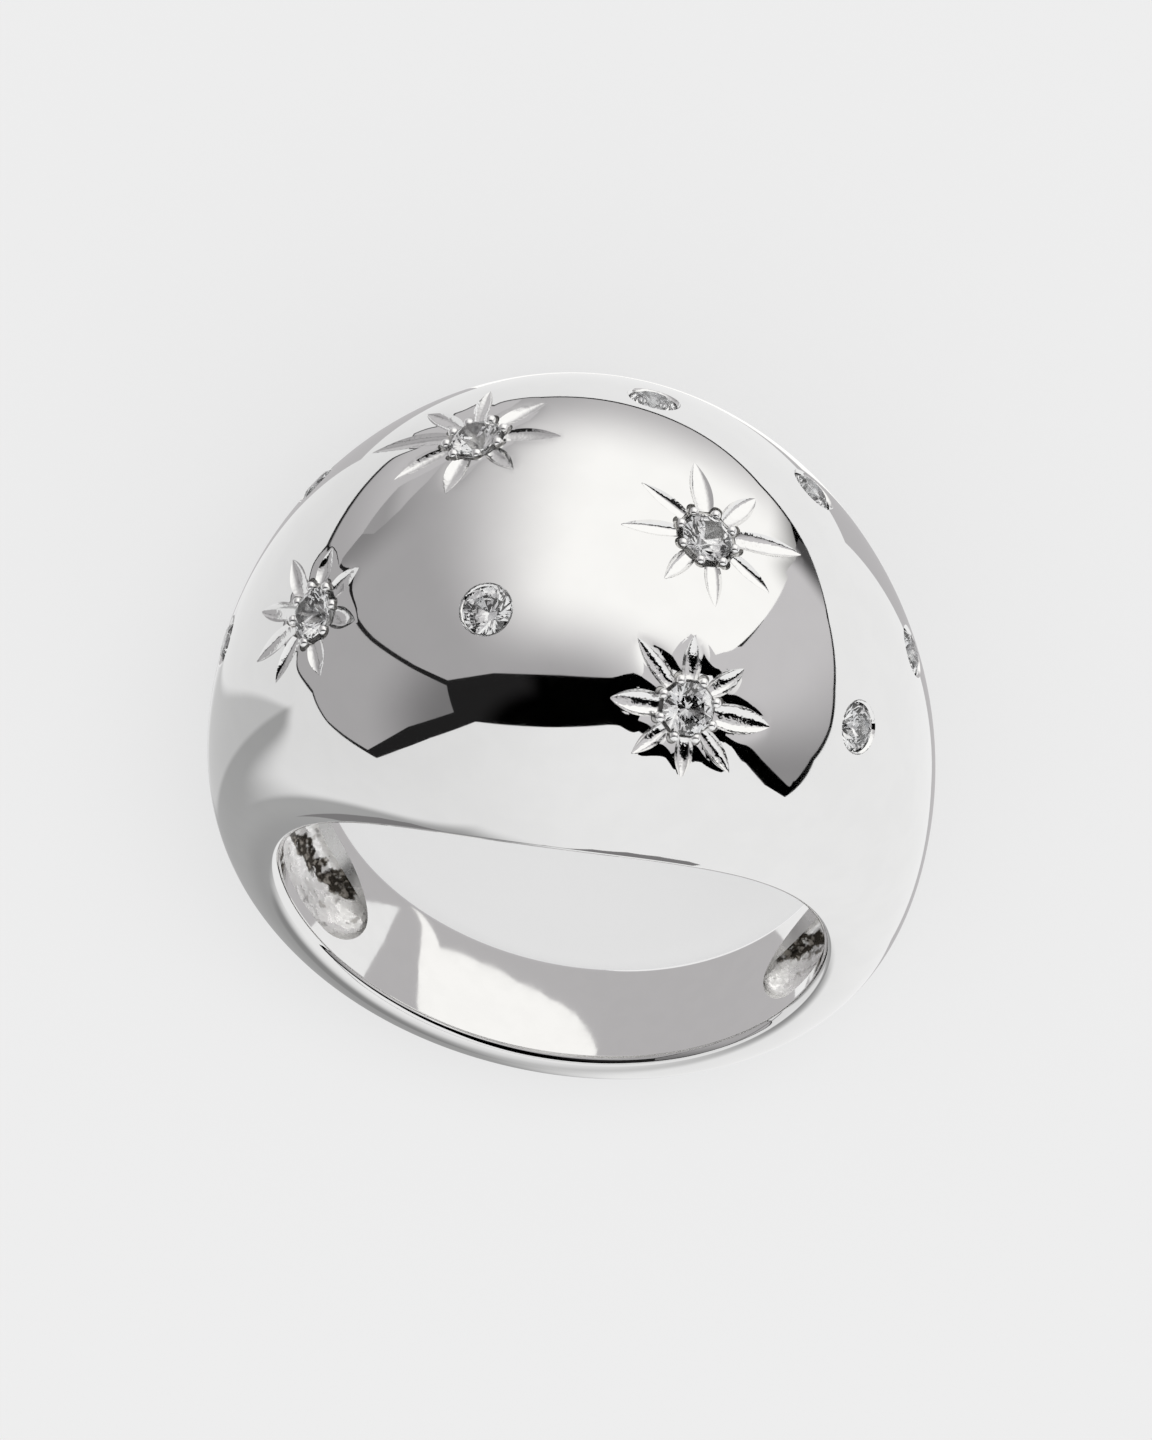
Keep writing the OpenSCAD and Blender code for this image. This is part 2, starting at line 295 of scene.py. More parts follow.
# how much of its bend the rounded edge has lost in its middle
LIP_FLAT = 0.7


def lip_normals(p):
    """Normals of the rounded edge, which polishing has flattened a little along its middle."""
    t = np.arctan2(past_side(p) + LIP_R, BORE_R + LIP_R - np.hypot(p[:, 0], p[:, 2]))
    t = t + LIP_FLAT / 4 * np.sin(4 * t)
    return unit(np.sin(t)[:, None] * unit(gradient(past_side, p))
                + np.cos(t)[:, None] * bore_normals(p))


# ---- meshes

# kinds of surface, and a stand-in material for each, which keeps them apart while pieces are cut
KINDS = OUTER, LIP, BORE, HOLLOW, EDGE, CUT, SEAT, GRAIN = range(8)
stand_ins = [bpy.data.materials.new("kind_%d" % kind) for kind in KINDS]


def object_from(name, verts, faces, kinds):
    mesh = bpy.data.meshes.new(name)
    mesh.from_pydata([tuple(v) for v in verts], [], faces)
    for mat in stand_ins:
        mesh.materials.append(mat)
    mesh.polygons.foreach_set("material_index", kinds)
    mesh.update()
    obj = bpy.data.objects.new(name, mesh)
    bpy.context.scene.collection.objects.link(obj)
    return obj


def volume(verts, faces):
    """More than 0 if the faces of a closed mesh look outwards."""
    v = np.asarray(verts)
    total = 0.0
    for f in faces:
        for i in range(1, len(f) - 1):
            total += np.dot(v[f[0]], np.cross(v[f[i]], v[f[i + 1]]))
    return total / 6


def outwards(verts, faces):
    return faces if volume(verts, faces) > 0 else [tuple(reversed(f)) for f in faces]


def cut(obj, tool, how="DIFFERENCE"):
    """Takes a tool away from an object, or joins it on, and deletes the tool."""
    mod = obj.modifiers.new("cut", "BOOLEAN")
    mod.operation = how
    mod.object = tool
    mod.solver = "MANIFOLD"
    dg = bpy.context.evaluated_depsgraph_get()
    made = bpy.data.meshes.new_from_object(obj.evaluated_get(dg))
    obj.modifiers.clear()
    old = obj.data
    obj.data = made
    bpy.data.meshes.remove(old)
    bpy.data.objects.remove(tool)


def ring_faces(low, high, per):
    """Faces between two closed rows of points that start at low and high."""
    return [(low + i, low + (i + 1) % per, high + (i + 1) % per, high + i) for i in range(per)]


# fine and wide steps round the band in degrees, and how far from the dome the fine ones go
FINE_STEP, WIDE_STEP, FINE_END = 0.5, 2.0, 52
# steps over the outer side, over each rounded edge and across the wall of the finger hole
OVER, LIP_STEPS, BORE_STEPS = 150, 6, 10


def around_angles():
    """Fine steps over the stars and wider ones over the rest of the band."""
    fine = np.arange(-FINE_END, FINE_END, FINE_STEP)
    rest = np.arange(FINE_END, 360 - FINE_END, WIDE_STEP)
    return np.radians(np.concatenate([fine, rest]))


def blank():
    """The band before anything is cut into it."""
    a = around_angles()[:, None]
    t = np.radians(np.linspace(-90, 90, OVER + 1))[None, :]
    rise = np.cos(t).clip(0) ** (2 / full(a))
    outer = place(a, half_w(a) * turned(a, t), BORE_R + LIP_R + (thick(a) - LIP_R) * rise)
    flat = outer.reshape(-1, 3)
    outer = (flat - plain_normals(flat) * rolled(flat)[:, None]).reshape(outer.shape)
    lip_t = np.radians(90 * (1 - np.arange(1, LIP_STEPS + 1) / LIP_STEPS))[None, :]
    lip_y = half_w(a) - LIP_R + LIP_R * np.sin(lip_t)
    lip_r = BORE_R + LIP_R - LIP_R * np.cos(lip_t)
    right = place(a, lip_y, lip_r)
    left = place(a, -lip_y[:, :-1], lip_r[:, :-1])[:, ::-1]
    across = 1 - 2 * np.arange(1, BORE_STEPS + 1)[None, :] / BORE_STEPS
    bore = place(a, (half_w(a) - LIP_R) * across, BORE_R + 0 * a)
    rows = np.concatenate([outer, right, bore, left], 1)
    count, per = rows.shape[:2]
    row_kinds = [OUTER] * OVER + [LIP] * LIP_STEPS + [BORE] * BORE_STEPS + [LIP] * LIP_STEPS
    verts = rows.reshape(-1, 3)
    faces = []
    for k in range(count):
        faces += ring_faces(k * per, (k + 1) % count * per, per)
    return object_from("band_silver", verts, outwards(verts, faces), row_kinds * count)


def cast_rough(p):
    """Height of the casting's uneven skin at a point."""
    return (0.03 * noise.noise(Vector(p) * 1.1)
            + 0.02 * noise.noise(Vector(p) * 3.1 + Vector((7, 3, 1))))


def hollow_tool():
    """The room under the dome with its beveled mouth, as one solid that reaches into the hole."""
    end_steps, flat_steps, over = 20, 260, 64
    last_turn = 88.5
    flat_end = HOLLOW_END - END_ROUND
    turns = np.radians(last_turn * np.arange(1, end_steps + 1) / end_steps)
    ends = flat_end + END_ROUND * np.sin(turns)
    degrees = np.concatenate([-ends[::-1], np.linspace(-flat_end, flat_end, flat_steps + 1), ends])
    a = np.radians(degrees)[:, None]
    u = np.clip((np.abs(degrees) - flat_end) / END_ROUND, 0, 1)[:, None]
    share = np.sqrt(1 - u ** 2)
    wall = END_WALL + (DOME_WALL - END_WALL) * w_share(a)
    wide = (half_w(a) - RIM - MOUTH_BEVEL) * share
    deep = (thick(a) - wall - MOUTH_BEVEL) * share
    mouth = BORE_R + MOUTH_BEVEL * share - RUN_OUT * (1 - share)
    dig = DIG + MOUTH_BEVEL * share
    t = np.radians(np.linspace(-90, 90, over + 1))[None, :]
    shell = place(a, wide * turned(a, t), mouth + deep * np.cos(t).clip(0) ** (2 / full(a)))
    rough = np.array([cast_rough(p) for p in shell.reshape(-1, 3)]).reshape(shell.shape[:2])
    fade = np.clip(np.cos(t) * 4, 0, 1) * np.clip(share * 3 - 0.6, 0, 1)
    axis = shell * np.array([1.0, 0, 1.0])
    shell = shell + unit(axis + shell * 0.5) * (rough * fade)[:, :, None]
    first = place(a, -(wide + dig), mouth - dig)
    last = place(a, wide + dig, mouth - dig)
    rows = np.concatenate([first, shell, last], 1)
    count, per = rows.shape[:2]
    row_kinds = [EDGE if i in (0, per - 2) else HOLLOW for i in range(per)]
    faces = []
    for k in range(count - 1):
        faces += ring_faces(k * per, (k + 1) * per, per)
    faces.append(tuple(reversed(range(per))))
    faces.append(tuple(range((count - 1) * per, count * per)))
    verts = rows.reshape(-1, 3)
    return object_from("hollow", verts, outwards(verts, faces),
                       row_kinds * (count - 1) + [HOLLOW] * 2)


def turned_solid(profile, count, at):
    """Points and faces of a turned solid from its half section, which starts and ends on the
    axis; at is the axis's place."""
    x, y = at
    turns = [2 * math.pi * i / count for i in range(count)]
    verts = [(x, y, profile[0][1])]
    for r, z in profile[1:-1]:
        verts += [(x + r * math.cos(t), y + r * math.sin(t), z) for t in turns]
    verts.append((x, y, profile[-1][1]))
    faces = []
    rings = len(profile) - 2
    for i in range(count):
        j = (i + 1) % count
        faces.append((0, 1 + j, 1 + i))
        for k in range(rings - 1):
            p, q = 1 + k * count, 1 + (k + 1) * count
            faces.append((p + i, p + j, q + j, q + i))
        p = 1 + (rings - 1) * count
        faces.append((p + i, p + j, len(verts) - 1))
    return verts, outwards(verts, faces)


def lathe(name, spot, profile, count, kind, places=((0, 0),)):
    """One turned solid over a spot, or several like ones at places around it."""
    verts, faces = [], []
    for at in places:
        v, f = turned_solid(profile, count, at)
        faces += [tuple(i + len(verts) for i in face) for face in f]
        verts += v
    return object_from(name, spot.world(verts), faces, [kind] * len(faces))


def star_seat(spot):
    """Seat of a star's stone, open above its girdle, with the round well around it."""
    d = STAR_STONE_D
    r = d / 2 + SEAT_GAP
    girdle = STAR_PROUD - (CROWN + GIRDLE) * d
    culet = girdle - PAVILION * d - 2 * SEAT_GAP
    profile = [(0, culet), (r, girdle - SEAT_GAP - SEAT_DROP), (WELL_R - 0.02, -WELL_FLOOR),
               (WELL_R, -WELL_FLOOR + 0.02), (WELL_R + 0.04, -0.05), (WELL_R + 0.9, 1.0), (0, 1.0)]
    return lathe("star_seat", spot, profile, 64, SEAT)


def grain_places(rays, reach):
    """Places at a distance from the star's middle, halfway between neighbouring rays."""
    turns = sorted(ray[0] % 360 for ray in rays)
    places = []
    for t, u in zip(turns, turns[1:] + [turns[0] + 360]):
        if u - t >= LEAST_GAP:
            mid = math.radians((t + u) / 2)
            places.append((reach * math.cos(mid), reach * math.sin(mid)))
    return places


def pockets(spot, rays):
    """Round hollows cut behind the grains, which scallop the well's wall."""
    r = POCKET_R
    profile = [(0, -WELL_FLOOR - 0.05), (0.7 * r, -WELL_FLOOR - 0.03), (r, -WELL_FLOOR + 0.06),
               (r + 0.01, 0.3), (0, 0.3)]
    return lathe("pockets", spot, profile, 20, SEAT, grain_places(rays, POCKET_AT))


def grains(spot, rays):
    """Round heads of silver on short posts."""
    r = GRAIN_R
    foot, low = -0.45, -0.13
    head = [(r * math.cos(math.radians(t)), low + r * math.sin(math.radians(t)))
            for t in (0, 22, 44, 62, 78)]
    profile = [(0, foot), (0.75 * r, foot), (0.92 * r, low - 0.08)] + head + [(0, low + r)]
    return lathe("grains", spot, profile, 20, GRAIN, grain_places(rays, GRAIN_AT))


def lone_seat(spot):
    """Seat of a stone set alone, narrowed over its crown, with the bright cut ring around it."""
    d = SMALL_STONE_D
    r = d / 2 + SEAT_GAP
    girdle_top = SMALL_PROUD - CROWN * d
    open_r = OPEN * d / 2 + SEAT_GAP
    hold = girdle_top + d / 2 * (1 - OPEN) * CROWN / (0.5 * (1 - TABLE)) + SEAT_GAP
    profile = [(0, girdle_top - (GIRDLE + PAVILION) * d - 2 * SEAT_GAP),
               (r, girdle_top - GIRDLE * d - SEAT_GAP), (r, girdle_top + SEAT_GAP),
               (open_r, hold)]
    profile += [(open_r + out, z) for out, z in RING]
    profile += [(open_r + 0.25, 1.0), (0, 1.0)]
    return lathe("lone_seat", spot, profile, 64, CUT)


# steps along and across a ray, how flat its bottom is, and how far its tool stands over the metal
RAY_STEPS, RAY_ACROSS = 16, 12
BOWL = 3.4
RAY_OVER = 0.3


def ray_tool(spot, turn, reach, width):
    """A leaf shaped groove with a rounded bottom, from its tip down to the stone."""
    c, s = math.cos(math.radians(turn)), math.sin(math.radians(turn))
    tip = reach * STAR_R
    side = -s * spot.x + c * spot.y
    verts = []
    for k in range(RAY_STEPS + 1):
        share = (k + 0.25) / (RAY_STEPS + 0.25)
        d = tip + (RAY_IN - tip) * share
        mid = spot.over(d * c, d * s)
        mid = mid - spot.z * rolled(mid[None, :])[0]
        shape = float(leaf(share))
        wide, deep = RAY_W / 2 * width * shape, RAY_DEPTH * shape ** DEPTH_POWER
        edge = wide + RAY_OVER * wide / (BOWL * deep)
        verts.append(mid - side * edge + spot.z * RAY_OVER)
        for i in range(RAY_ACROSS + 1):
            q = 2 * i / RAY_ACROSS - 1
            verts.append(mid + side * q * wide - spot.z * deep * (1 - abs(q) ** BOWL))
        verts.append(mid + side * edge + spot.z * RAY_OVER)
    per = RAY_ACROSS + 3
    top = len(verts)
    start = spot.over(tip * c, tip * s)
    verts.append(start + spot.z * (0.02 - rolled(start[None, :])[0]))
    faces = []
    for k in range(RAY_STEPS):
        faces += ring_faces(k * per, (k + 1) * per, per)
    faces += [(top, (i + 1) % per, i) for i in range(per)]
    faces.append(tuple(range(RAY_STEPS * per, (RAY_STEPS + 1) * per)))
    return object_from("ray", verts, outwards(verts, faces), [CUT] * len(faces))


def build_band():
    """The whole band in its own frame, in millimetres."""
    obj = blank()
    cut(obj, hollow_tool())
    for spot in small_spots:
        cut(obj, lone_seat(spot))
    for spot, (_, _, _, rays) in zip(star_spots, STARS):
        cut(obj, star_seat(spot))
        cut(obj, pockets(spot, rays))
        for ray in rays:
            cut(obj, ray_tool(spot, *ray))
        cut(obj, grains(spot, rays), "UNION")
    return obj


def turn_down(v):
    """Directions in the band's own frame, turned as it lies."""
    x, y, z = v[..., 0], v[..., 1], v[..., 2]
    s, c = math.sin(LEAN), math.cos(LEAN)
    return np.stack([-x, -(y * s + z * c), -y * c + z * s], -1)


def lie_down(p):
    """Places in the band's own frame in millimetres, laid down and in metres."""
    return (turn_down(p) + np.array([0, SHIFT, LIFT])) * MM


# edges that bend more than this are sharp, apart from those inside the band's own surfaces
SHARP = math.radians(35)


def values(items, key, width=1, kind=float):
    """One property of all vertices, edges, corners or faces of a mesh."""
    found = np.empty(len(items) * width, kind)
    items.foreach_get(key, found)
    return found.reshape(-1, width) if width > 1 else found


def sharp_edges(mesh, loop_kind, totals):
    """Which edges lie between two kinds of surface, or bend sharply in a cut one."""
    loop_edge = values(mesh.loops, "edge_index", kind=int)
    face_normals = np.repeat(values(mesh.polygons, "normal", 3), totals, 0)
    edges = len(mesh.edges)
    low, high = np.full(edges, len(KINDS)), np.full(edges, -1)
    np.minimum.at(low, loop_edge, loop_kind)
    np.maximum.at(high, loop_edge, loop_kind)
    total = np.zeros((edges, 3))
    np.add.at(total, loop_edge, face_normals)
    bend = np.linalg.norm(total, axis=1) / 2 < math.cos(SHARP / 2)
    free = ~np.isin(high, (OUTER, LIP, BORE))
    return (low != high) | (bend & free)


def shade(obj):
    """Smooth faces with the true normals of the band's own surfaces, and sharp edges where
    one kind of surface meets another."""
    mesh = obj.data
    mesh.polygons.foreach_set("use_smooth", np.ones(len(mesh.polygons), bool))
    mesh.update()
    p = values(mesh.vertices, "co", 3)
    totals = values(mesh.polygons, "loop_total", kind=int)
    loop_kind = np.repeat(values(mesh.polygons, "material_index", kind=int), totals)
    loop_vert = values(mesh.loops, "vertex_index", kind=int)
    mesh.edges.foreach_set("use_edge_sharp", sharp_edges(mesh, loop_kind, totals))
    mesh.update()
    normals = values(mesh.corner_normals, "vector", 3)
    for kind, rule in ((OUTER, outer_normals), (LIP, lip_normals), (BORE, bore_normals)):
        mine = loop_kind == kind
        normals[mine] = rule(p[loop_vert[mine]])
    mesh.vertices.foreach_set("co", lie_down(p).ravel())
    mesh.update()
    mesh.normals_split_custom_set([tuple(n) for n in turn_down(normals)])
    mesh.update()


# ---- materials

def fresh(name):
    """A new material, its node tree and its main shader."""
    mat = bpy.data.materials.new(name)
    mat.use_nodes = True
    tree = mat.node_tree
    bsdf = next(n for n in tree.nodes if n.type == "BSDF_PRINCIPLED")
    return mat, tree, bsdf


class Nodes:
    """Short ways to write sums in a node tree; a value is a number or another node's output."""

    def __init__(self, tree):
        self.tree = tree

    def math(self, op, *values):
        node = self.tree.nodes.new("ShaderNodeMath")
        node.operation = op
        for socket, value in zip(node.inputs, values):
            self.put(socket, value)
        return node.outputs[0]

    def plus(self, *values):
        return self.math("ADD", *values)

    def less(self, *values):
        return self.math("SUBTRACT", *values)

    def times(self, *values):
        return self.math("MULTIPLY", *values)

    def put(self, socket, value):
        if isinstance(value, tuple):
            socket.default_value = (*value, 1)
        elif isinstance(value, (int, float)):
            socket.default_value = value
        else:
            self.tree.links.new(value, socket)

    def ramp(self, value, start, end, low=0.0, high=1.0):
        """Goes smoothly from low to high while the value goes from start to end."""
        node = self.tree.nodes.new("ShaderNodeMapRange")
        node.interpolation_type = "SMOOTHSTEP"
        for key, v in (("Value", value), ("From Min", start), ("From Max", end),
                       ("To Min", low), ("To Max", high)):
            self.put(node.inputs[key], v)
        return node.outputs["Result"]

    def dot(self, vector, direction):
        node = self.tree.nodes.new("ShaderNodeVectorMath")
        node.operation = "DOT_PRODUCT"
        self.tree.links.new(vector, node.inputs[0])
        node.inputs[1].default_value = direction
        return node.outputs["Value"]

    def angles(self, vector):
        """Azimuth and elevation of a direction, in degrees."""
        parts = self.tree.nodes.new("ShaderNodeSeparateXYZ")
        self.tree.links.new(vector, parts.inputs[0])
        x, y, z = parts.outputs
        azimuth = self.math("ARCTAN2", x, self.times(y, -1.0))
        elevation = self.math("ARCSINE", z)
        return [self.times(v, 180 / math.pi) for v in (azimuth, elevation)]

    def place(self):
        """The object's own coordinates, in metres."""
        return self.tree.nodes.new("ShaderNodeTexCoord").outputs["Object"]

    def noise(self, scale, detail=2.0):
        """Noise over the object's own coordinates, in features per metre."""
        tex = self.tree.nodes.new("ShaderNodeTexNoise")
        tex.inputs["Scale"].default_value = scale
        tex.inputs["Detail"].default_value = detail
        self.tree.links.new(self.place(), tex.inputs["Vector"])
        return tex.outputs["Fac"]

    def bump(self, height, strength, distance):
        node = self.tree.nodes.new("ShaderNodeBump")
        node.inputs["Strength"].default_value = strength
        node.inputs["Distance"].default_value = distance
        self.tree.links.new(height, node.inputs["Height"])
        return node.outputs["Normal"]

    def blend(self, factor, first, second):
        node = self.tree.nodes.new("ShaderNodeMix")
        node.data_type = "RGBA"
        self.put(node.inputs["Factor"], factor)
        for socket, color in zip([i for i in node.inputs if i.type == "RGBA"], (first, second)):
            self.put(socket, color)
        return next(o for o in node.outputs if o.type == "RGBA")


# heights of the waves left in polished silver and of the casting's skin, in metres
WAVE_H = 0.02 * MM
SKIN_H = 0.05 * MM


def metal(name, color, rough, wave, fine):
    """Silver whose sheen varies a little, with fine waves left by the tools."""
    mat, tree, bsdf = fresh(name)
    n = Nodes(tree)
    grain = n.noise(fine)
    worn = n.ramp(grain, 0.35, 0.65)
    tree.links.new(n.blend(worn, color, tuple(0.985 * c for c in color)), bsdf.inputs["Base Color"])
    bsdf.inputs["Metallic"].default_value = 1
    tree.links.new(n.ramp(grain, 0.3, 0.7, 0.8 * rough, 1.25 * rough), bsdf.inputs["Roughness"])
    tree.links.new(n.bump(grain, wave, WAVE_H), bsdf.inputs["Normal"])
    return mat


def cast_skin(name):
    """Rough skin of the casting: bright where it is rubbed, with small dark pockmarks and a dark,
    ragged stripe of painted shade along its low corner near the shank, which stands for the
    shadowed wall that the hollow mirrors there."""
    mat, tree, bsdf = fresh(name)
    n = Nodes(tree)
    skin = n.noise(5200, 4)
    middle = (SHIFT * math.sin(LEAN) + LIFT * math.cos(LEAN)) * MM
    across = n.plus(n.dot(n.place(), (0, -math.sin(LEAN), -math.cos(LEAN))), middle)
    ragged = n.times(n.less(n.noise(2600, 4), 0.5), 1.2 * MM)
    off = n.math("ABSOLUTE", n.less(n.plus(across, ragged), SHADE_STREAK_AT * MM))
    near_shank = n.ramp(n.dot(n.place(), (0, 1, 0)), 4 * MM, 6 * MM)
    # painted shade: a dark ragged stripe near the shank, standing for the shadowed wall that the
    # hollow mirrors there
    shade_streak = n.times(n.ramp(off, 0.31 * MM, 0.16 * MM), near_shank)
    # the dark colours go on the pockmarks and on the stripe of painted shade alike
    pits_and_shade = n.math("MAXIMUM", n.ramp(n.noise(2100, 3), 0.6, 0.7, 0.0, 0.5), shade_streak)
    dark = n.blend(n.ramp(skin, 0.48, 0.66), (0.05, 0.044, 0.036), (0.42, 0.39, 0.35))
    tree.links.new(n.blend(pits_and_shade, (0.98, 0.975, 0.965), dark), bsdf.inputs["Base Color"])
    bsdf.inputs["Metallic"].default_value = 1
    tree.links.new(n.ramp(skin, 0.3, 0.7, 0.22, 0.45), bsdf.inputs["Roughness"])
    tree.links.new(n.bump(skin, 0.5, SKIN_H), bsdf.inputs["Normal"])
    return mat


# colour, roughness, depth of the waves and how many of them there are to the metre
silver = metal("silver_polished", (0.84, 0.838, 0.835), 0.03, 0.01, 900)
silver_inside = metal("silver_inside", (0.83, 0.826, 0.822), 0.05, 0.03, 1500)
silver_edge = metal("silver_edge", (0.86, 0.855, 0.845), 0.3, 0.1, 1800)
silver_cast = cast_skin("silver_cast")
silver_cut = metal("silver_cut", (0.87, 0.868, 0.865), 0.06, 0.6, 6500)
# the seats' silver is darker than the rest: painted shade in the wells round the stones
silver_seat_shaded = metal("silver_seat_shaded", (0.5, 0.495, 0.485), 0.2, 0.4, 5000)
silver_grain = metal("silver_grain", (0.9, 0.898, 0.895), 0.06, 0.1, 3000)


def stone_material():
    """Clear stone with faint clouds."""
    mat, tree, bsdf = fresh("stone_clear")
    n = Nodes(tree)
    cloud = n.noise(2600)
    clear = n.ramp(cloud, 0.42, 0.56)
    tree.links.new(n.blend(clear, (0.72, 0.73, 0.745), (1.0, 1.0, 1.0)), bsdf.inputs["Base Color"])
    tree.links.new(n.ramp(cloud, 0.3, 0.7, 0.01, 0.05), bsdf.inputs["Roughness"])
    bsdf.inputs["IOR"].default_value = 1.9
    bsdf.inputs["Transmission Weight"].default_value = 1
    return mat


stone_glass = stone_material()


# ---- the band

band = build_band()
shade(band)
# in the order of KINDS; the faces keep their kinds because the stand-ins are replaced in place
for kind, mat in enumerate((silver, silver, silver_inside, silver_cast, silver_edge, silver_cut,
                            silver_seat_shaded, silver_grain)):
    band.data.materials[kind] = mat
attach(band, "root")
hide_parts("band")

for name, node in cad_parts.items():
    if "stone" in name:
        node.data.materials.clear()
        node.data.materials.append(stone_glass)


# ---- stage

def floor():
    """Pale floor with a soft shadow; the ring doesn't mirror it, since boards stand in for it."""
    mesh = bpy.data.meshes.new("floor")
    half = 1.0
    corners = [(-half, -half, 0), (half, -half, 0), (half, half, 0), (-half, half, 0)]
    mesh.from_pydata(corners, [], [(0, 1, 2, 3)])
    obj = bpy.data.objects.new("floor", mesh)
    bpy.context.scene.collection.objects.link(obj)
    mat, _, bsdf = fresh("floor_white")
    bsdf.inputs["Base Color"].default_value = (0.25, 0.25, 0.251, 1)
    bsdf.inputs["Roughness"].default_value = 0.8
    bsdf.inputs["Specular IOR Level"].default_value = 0.0
    bsdf.inputs["Emission Color"].default_value = (1, 1, 1, 1)
    bsdf.inputs["Emission Strength"].default_value = 0.585
    mesh.materials.append(mat)
    obj.visible_glossy = False


floor()


# the photograph's frame in pixels, where in it the middle of the finger hole's axis is, its scale
# there, how far away the camera is in millimetres, and how it looks at the hole
FRAME_W, FRAME_H = 1152, 1440
MIDDLE_AT = (568.9, 829.1)
PX_PER_MM, DISTANCE = 31.55, 341.5
CAM_UP, CAM_SIDE, CAM_ROLL = math.radians(47.522), math.radians(7.947), math.radians(1.8275)
SENSOR = 36


def camera():
    """Looks at the ring as in the photograph."""
    up, side, roll = CAM_UP, CAM_SIDE, CAM_ROLL
    right = np.array([math.cos(side), math.sin(side), 0])
    above = np.array([-math.sin(side) * math.sin(up), math.cos(side) * math.sin(up), math.cos(up)])
    ahead = np.array([-math.sin(side) * math.cos(up), math.cos(side) * math.cos(up), -math.sin(up)])
    right, above = (right * math.cos(roll) + above * math.sin(roll),
                    above * math.cos(roll) - right * math.sin(roll))
    data = bpy.data.cameras.new("camera")
    cam = bpy.data.objects.new("camera", data)
    bpy.context.scene.collection.objects.link(cam)
    bpy.context.scene.camera = cam
    focal_px = PX_PER_MM * DISTANCE
    data.sensor_fit = "VERTICAL"
    data.sensor_width = data.sensor_height = SENSOR
    data.lens = focal_px / FRAME_H * SENSOR
    eye = lie_down(-ahead * DISTANCE)
    r, u, f = (Vector(turn_down(v)) for v in (right, above, ahead))
    pan = math.atan((FRAME_W / 2 - MIDDLE_AT[0]) / focal_px)
    tilt = math.atan((MIDDLE_AT[1] - FRAME_H / 2) / focal_px)
    turn = Matrix.Rotation(-pan, 3, u) @ Matrix.Rotation(tilt, 3, r)
    basis = Matrix((turn @ r, turn @ u, -(turn @ f))).transposed()
    cam.matrix_world = Matrix.Translation(Vector(eye)) @ basis.to_4x4()
    data.clip_start, data.clip_end = 0.01, 10


camera()


# ---- soft studio light. Directions are (azimuth, elevation) in degrees as seen from the ring,
# azimuth 0 being straight out from the dome and 90 towards +X

# the ring's middle, from which directions are counted
CENTRE = Vector((0, -0.002, 0.009))


def toward(azimuth, elevation):
    """Direction as a unit vector."""
    a, e = math.radians(azimuth), math.radians(elevation)
    return Vector((math.sin(a) * math.cos(e), -math.cos(a) * math.cos(e), math.sin(e)))


def board(name, verts, faces, tone):
    """A lit or dark board around the ring, seen in the metal and the stones alone.
    tone gives its brightness and colour from the nodes, the azimuth and the elevation."""
    mesh = bpy.data.meshes.new(name)
    mesh.from_pydata(verts, [], faces)
    obj = bpy.data.objects.new(name, mesh)
    bpy.context.scene.collection.objects.link(obj)
    mat = bpy.data.materials.new(name)
    mat.use_nodes = True
    tree = mat.node_tree
    tree.nodes.clear()
    n = Nodes(tree)
    geometry = tree.nodes.new("ShaderNodeNewGeometry")
    away = tree.nodes.new("ShaderNodeVectorMath")
    away.operation = "SUBTRACT"
    tree.links.new(geometry.outputs["Position"], away.inputs[0])
    away.inputs[1].default_value = CENTRE
    direction = tree.nodes.new("ShaderNodeVectorMath")
    direction.operation = "NORMALIZE"
    tree.links.new(away.outputs[0], direction.inputs[0])
    strength, color = tone(n, *n.angles(direction.outputs[0]))
    glow = tree.nodes.new("ShaderNodeEmission")
    n.put(glow.inputs["Strength"], strength)
    n.put(glow.inputs["Color"], color)
    out = tree.nodes.new("ShaderNodeOutputMaterial")
    tree.links.new(glow.outputs[0], out.inputs[0])
    mat.cycles.emission_sampling = "NONE"
    mesh.materials.append(mat)
    obj.visible_camera = obj.visible_diffuse = obj.visible_shadow = False


# steps from a panel's middle to its edge
PANEL_RINGS = 10


def panel(name, corners, middle, distance, tone):
    """A board far from the ring, bent to a sphere around it."""
    mid = toward(*middle)
    count = len(corners)
    verts = [CENTRE + mid * distance]
    for k in range(1, PANEL_RINGS + 1):
        for c in corners:
            verts.append(CENTRE + mid.slerp(toward(*c), k / PANEL_RINGS) * distance)
    faces = [(0, 1 + i, 1 + (i + 1) % count) for i in range(count)]
    for k in range(PANEL_RINGS - 1):
        low, high = 1 + k * count, 1 + (k + 1) * count
        faces += [(low + i, high + i, high + (i + 1) % count, low + (i + 1) % count)
                  for i in range(count)]
    board(name, verts, faces, tone)


def card(name, corners, tone, color=(1, 1, 1)):
    """A small flat board close to the ring; its corners are in millimetres."""
    verts = [Vector(c) * MM for c in corners]
    board(name, verts, [tuple(range(len(verts)))], lambda n, a, e: (tone, color))


